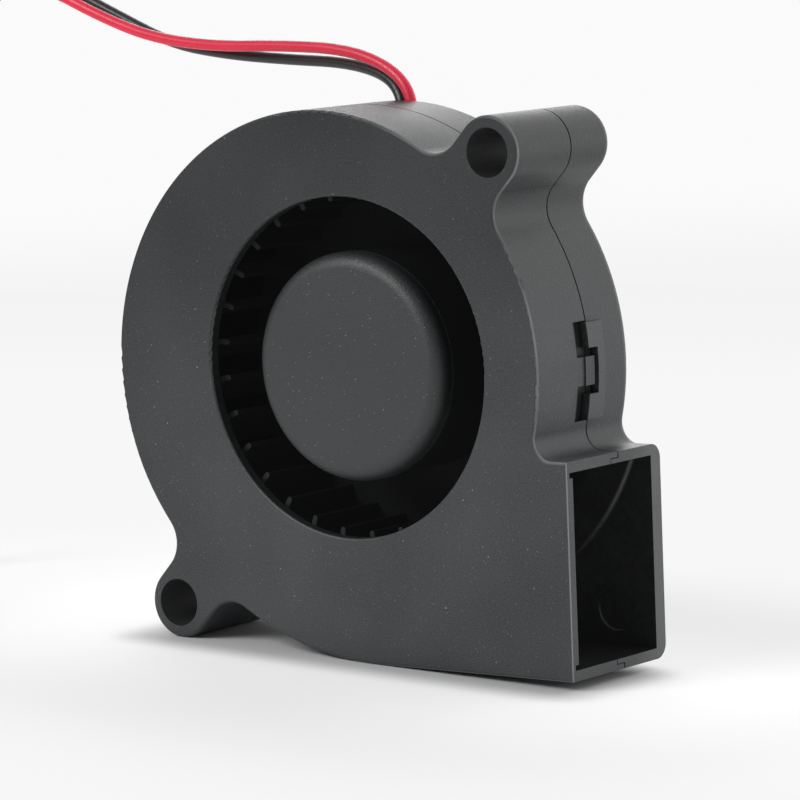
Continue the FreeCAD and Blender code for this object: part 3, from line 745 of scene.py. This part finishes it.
def within(value, stretch):
    low, high = stretch
    return (value > low) & (value < high)


def withinVolute(x, z, inset):
    # Inside the volute's outline moved inwards by the inset
    found = np.zeros(len(x), bool)
    low, high, bottom, top = volute["duct"]
    for key in ("crest", "cutoff", "sweep"):
        centreX, centreZ, radius = volute[key]
        circle = np.hypot(x - centreX, z - centreZ) < radius - inset
        found |= circle if key != "sweep" else circle & (x <= low) & (z < top - inset)
    return found | (within(x, (low, high)) & within(z, (bottom + inset, top - inset)))


def paintInsideShade(copy):
    mesh = copy.data
    x, y, z = values(mesh.polygons, "center", 3).T / mm
    facing = abs(values(mesh.polygons, "normal", 3)[:, 1])
    inside = withinVolute(x, z, volute["wall"]) & within(y, volute["inner"])
    inside |= withinVolute(x, z, volute["jointInset"]) & within(y, volute["joint"])
    inside |= (facing > volute["facesFront"]) & within(y, volute["parting"])
    mesh.materials.append(finishes["casingInsideShade"])
    mesh.materials.append(finishes["casingBoreShade"])
    slots = inside.astype(np.int32)
    for centreX, centreZ, radius, length, slot in volute["bores"]:
        bore = np.hypot(x - centreX, z - centreZ) < radius
        slots[bore & (facing < volute["facesAside"]) & within(y, (volute["boreFrom"], length))] = slot
    mesh.polygons.foreach_set("material_index", slots)


# Leads: up the channel, out over the rim, left across the top, down and round into a coil

leads = {
    "diameter": 1.1,
    "ring": (-70.0, 10.0, 6.0),  # centre x and y, and the radius at the middle of the turns
    "turnsWide": 2,
    "turnsHigh": 2,
    "pointsPerTurn": 16,
    "sideways": 1.05,  # diameters from one turn to the next beside it
    "upwards": 1.02,  # diameters from one turn to the next above it
    "climb": 3,  # points that it takes to climb there
    "layer": 2.35,  # the black lead's ring lies this much higher than the red one's
    "tailOut": 0.25,
    "tailFront": 2.9,
    "plugX": -62.75,
    "plugY": 1.5,
    "plugPitch": 2.5,
    "plugLine": 2.5,
    "plugRun": 2.4,
    "plugBack": 1.3,
    "alongSteps": 6,
    "roundSteps": 4,
}

redRoute = [
    (-1.975, 14.38, 9.65),
    (-1.95, 14.38, 15.2),
    (-1.97, 14.42, 20.0),
    (-2.0, 14.55, 24.2),
    (-4.7, 14.9, 26.7),
    (-10.2, 15.3, 28.4),
    (-18.5, 15.7, 28.75),
    (-27.0, 16.0, 28.7),
    (-35.0, 16.2, 29.6),
    (-42.0, 16.5, 31.8),
    (-49.0, 16.3, 34.9),
    (-56.5, 15.2, 35.6),
    (-62.2, 14.6, 31.0),
    (-63.9, 15.0, 22.0),
    (-63.7, 16.0, 12.0),
    (-64.3, 17.0, 2.0),
    (-64.0, 17.9, -8.0),
    (-64.2, 18.6, -17.0),
]
blackRoute = [
    (-3.125, 14.38, 9.65),
    (-3.16, 14.38, 15.2),
    (-3.14, 14.42, 20.0),
    (-3.15, 14.7, 23.8),
    (-5.6, 15.6, 25.9),
    (-11.0, 16.6, 27.05),
    (-18.5, 17.3, 27.3),
    (-26.5, 17.8, 27.8),
    (-34.0, 18.0, 28.9),
    (-41.5, 18.4, 31.9),
    (-48.0, 18.3, 34.7),
    (-55.0, 17.2, 34.8),
    (-60.4, 16.6, 30.6),
    (-61.9, 16.8, 22.5),
    (-61.7, 16.8, 12.5),
    (-62.3, 16.6, 2.5),
    (-62.0, 16.9, -6.5),
    (-62.5, 17.2, -15.5),
]

leadRuns = {
    # route, y where it comes to the ring, height of the ring, side of the plug, nodes and finish
    "redLead": (redRoute, 16.4, 0.0, 1, ["red_lead", "red_lead_coil", "red_lead_end"], "redInsulation"),
    "blackLead": (
        blackRoute,
        15.4,
        leads["layer"],
        -1,
        ["black_lead", "black_lead_coil", "black_lead_end"],
        "blackInsulation",
    ),
}


def laid(x, y, height):
    # A point at this height over the plane that the blower leans on, square to that plane
    lean = math.radians(ground["lean"])
    return (x + height * math.sin(lean), y, groundZ(x) + height * math.cos(lean))


def coilPoints(base):
    # Turns round the ring's centre, clockwise from above: the radius goes in over the lower turns
    # and out again over the upper ones, and each layer lies one diameter above the one below
    centreX, centreY, radius = leads["ring"]
    d = leads["diameter"]
    n = leads["pointsPerTurn"]
    wide, high = leads["turnsWide"], leads["turnsHigh"]
    total = wide * high
    t = np.arange(1, total * n) / n
    layer = np.minimum(np.floor(t / wide), high - 1)
    along = np.clip((t - layer * wide) / wide, 0, 1)
    outward = np.where(layer % 2 == 0, 1 - along, along)
    sideways = (outward - 0.5) * (wide - 1) * d * leads["sideways"]
    climb = np.clip((t - wide * (layer + 1)) * n / leads["climb"] + 1, 0, 1) * (layer < high - 1)
    height = base + d / 2 + (layer + climb) * d * leads["upwards"]
    r = (radius + sideways) / math.cos(math.pi / n)
    angle = -2 * math.pi * t
    x = centreX + r * np.cos(angle)
    y = centreY + r * np.sin(angle)
    return [laid(*p) for p in zip(x.tolist(), y.tolist(), height.tolist())]


def leadTail(side, height):
    centreX, centreY, radius = leads["ring"]
    lineX = leads["plugX"] + side * leads["plugPitch"] / 2
    return [
        laid(centreX + radius + leads["tailOut"] * (1 + side), centreY - leads["tailFront"], height),
        laid(lineX, leads["plugY"] + leads["plugRun"], leads["plugLine"]),
        laid(lineX, leads["plugY"] - leads["plugBack"], leads["plugLine"]),
    ]


def makeLead(name, route, entryY, base, side, nodes, finish):
    centreX, _, radius = leads["ring"]
    d = leads["diameter"]
    points = list(route) + [laid(centreX + radius, entryY, base + d / 2)]
    points += coilPoints(base) + leadTail(side, base + d * 1.5)
    curve = bpy.data.curves.new(name, "CURVE")
    curve.dimensions = "3D"
    curve.resolution_u = leads["alongSteps"]
    curve.bevel_depth = d / 2 * mm
    curve.bevel_resolution = leads["roundSteps"]
    curve.use_fill_caps = True
    spline = curve.splines.new("NURBS")
    spline.points.add(len(points) - 1)
    flat = np.c_[np.array(points) * mm, np.ones(len(points))]
    spline.points.foreach_set("co", flat.ravel())
    spline.order_u = 3
    spline.use_endpoint_u = True
    curve.materials.append(finishes[finish])
    lead = bpy.data.objects.new(name, curve)
    scene.collection.objects.link(lead)
    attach(lead, "casing")
    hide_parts(*nodes)


# Studio: a pale floor, with soft light from the front left above, the right and the back

studio = {
    "floorRadius": 0.3,
    "floorGrid": (24, 96),  # rings and steps
    "floorCrowding": 1.5,  # crowds the rings towards the middle
    "floorColour": (0.60, 0.60, 0.60),
    "floorRough": 0.9,
    "floorSpecular": 0.2,
    "floorGlow": (0.312, 0.3, 1.1),  # at the origin, and what each metre to the right and to the back adds
    "nearGlow": (0.13, 0.035),  # what the blower's own shade is filled with, and how far out
    "farFloor": (0.018, 0.062, 0.93),  # metres from the blower where it evens out, and the level there
    "farEdge": (0.16, 0.27, 0.035),  # metres where the floor's far end dims, and by how much
    "footprint": (0.0002, 0.0045, 0.0232, 0.0050),  # middle x and y and half sizes of the blower's place
    "footprintSoft": 0.006,
    "worldFront": 0.27,
    "worldBack": 1.5,
    "worldTurn": (-0.1, 0.8),  # from the camera's side to the far side, as the direction's y
    "worldSeen": (-0.093, -0.072, 0.905, 0.957),  # the direction's z at both ends, and the levels there
}

lamps = {
    "leftSoftbox": {"place": (-157, -368, 284), "aim": (0, 0, 0), "size": (280, 220), "power": 1.66},
    "rightSoftbox": {"place": (560, 120, 70), "aim": (0, 0, -5), "size": (300, 260), "power": 0.45},
    "backSoftbox": {"place": (-330, 430, 190), "aim": (0, 0, 15), "size": (360, 200), "power": 0.44},
}


def makeLamps():
    for name, lamp in lamps.items():
        data = bpy.data.lights.new(name, "AREA")
        data.shape = "RECTANGLE"
        data.size, data.size_y = (v * mm for v in lamp["size"])
        data.energy = lamp["power"]
        made = bpy.data.objects.new(name, data)
        made.location = Vector(lamp["place"]) * mm
        aim = Vector(lamp["aim"]) * mm
        made.rotation_mode = "QUATERNION"
        made.rotation_quaternion = (aim - made.location).to_track_quat("-Z", "Y")
        made.visible_camera = False
        scene.collection.objects.link(made)


def makeWorld():
    # Nearly white where the camera looks at it, and for the light it is brighter behind the blower
    # than before it
    world = bpy.data.worlds.new("studioWorld")
    world.use_nodes = True
    tree = world.node_tree
    tree.nodes.clear()
    out = tree.nodes.new("ShaderNodeOutputWorld")
    back = tree.nodes.new("ShaderNodeBackground")
    wire(tree, (1, 1, 1), back.inputs["Color"])
    path = tree.nodes.new("ShaderNodeLightPath").outputs
    seen = maths(tree, "MAXIMUM", path["Is Camera Ray"], path["Is Transmission Ray"])
    axes = axesOf(tree, tree.nodes.new("ShaderNodeTexCoord").outputs["Generated"])
    light = spread(tree, axes["Y"], *studio["worldTurn"], studio["worldFront"], studio["worldBack"])
    unseen = product(tree, light, maths(tree, "SUBTRACT", 1.0, seen))
    level = maths(tree, "MULTIPLY_ADD", seen, spread(tree, axes["Z"], *studio["worldSeen"]), unseen)
    wire(tree, level, back.inputs["Strength"])
    wire(tree, back.outputs[0], out.inputs["Surface"])
    scene.world = world


def floorMaterial():
    # It glows to fill the blower's shade, though not right under it, and evens out to one level far off
    made, tree, shader, place = startMaterial("studioFloor")
    across, back, _ = axesOf(tree, place)
    placeX, placeY, halfX, halfY = studio["footprint"]
    besideX = maths(tree, "MAXIMUM", outside(tree, across, placeX, halfX), 0.0)
    besideY = maths(tree, "MAXIMUM", outside(tree, back, placeY, halfY), 0.0)
    beside = farFrom(tree, besideX, besideY, 0.0, 0.0)
    base, slopeX, slopeY = studio["floorGlow"]
    glow = maths(tree, "MULTIPLY_ADD", across, slopeX, maths(tree, "MULTIPLY_ADD", back, slopeY, base))
    filled, filledTo = studio["nearGlow"]
    glow = maths(tree, "ADD", glow, spread(tree, beside, 0.0, filledTo, filled, 0.0))
    glow = product(tree, glow, spread(tree, beside, 0.0, studio["footprintSoft"]))
    farStart, farEnd, farLevel = studio["farFloor"]
    isFar = spread(tree, beside, farStart, farEnd)
    edgeStart, edgeEnd, dimmed = studio["farEdge"]
    even = spread(tree, beside, edgeStart, edgeEnd, farLevel, farLevel - dimmed)
    glow = product(tree, glow, maths(tree, "SUBTRACT", 1.0, isFar))
    for label, value in (
        ("Base Color", blend(tree, isFar, studio["floorColour"], (0, 0, 0))),
        ("Roughness", studio["floorRough"]),
        ("Specular IOR Level", spread(tree, isFar, 0, 1, studio["floorSpecular"], 0.0)),
        ("Emission Color", (1, 1, 1)),
        ("Emission Strength", maths(tree, "ADD", glow, product(tree, even, isFar))),
    ):
        wire(tree, value, shader.inputs[label])
    return made


def makeFloor():
    # A disc whose height falls evenly to the right, as the leaning blower has it
    rings, steps = studio["floorGrid"]
    r = np.linspace(0, 1, rings) ** studio["floorCrowding"] * studio["floorRadius"]
    a = np.linspace(0, 2 * math.pi, steps, endpoint=False)
    x = (r[:, None] * np.cos(a)).ravel()
    y = (r[:, None] * np.sin(a)).ravel()
    slope = math.tan(math.radians(ground["lean"]))
    z = (ground["touchZ"] + ground["touchX"] * slope) * mm - x * slope
    i, j = np.meshgrid(np.arange(rings - 1), np.arange(steps), indexing="ij")
    k = (j + 1) % steps
    faces = np.stack([i * steps + j, (i + 1) * steps + j, (i + 1) * steps + k, i * steps + k], -1)
    mesh = bpy.data.meshes.new("studioFloor")
    mesh.from_pydata(np.c_[x, y, z].tolist(), [], faces.reshape(-1, 4).tolist())
    mesh.materials.append(floorMaterial())
    floor = bpy.data.objects.new("studioFloor", mesh)
    scene.collection.objects.link(floor)


scene.view_settings.view_transform = "Standard"
makeCamera()
makeLamps()
makeWorld()
makeFloor()
print("studio ready")
makeFinishes()
dressNodes()
print("finishes ready", len(finishes))
copies = {node: smoothCopy(node, *how) for node, how in smoothNodes.items()}
for node in ("front_cover", "rear_shell"):
    paintInsideShade(copies[node])
softenPlug(copies["connector_housing"])
for copy in copies.values():
    print("smooth copy", copy.name, len(copy.data.polygons), "faces")
for name, run in leadRuns.items():
    makeLead(name, *run)
print("leads ready")
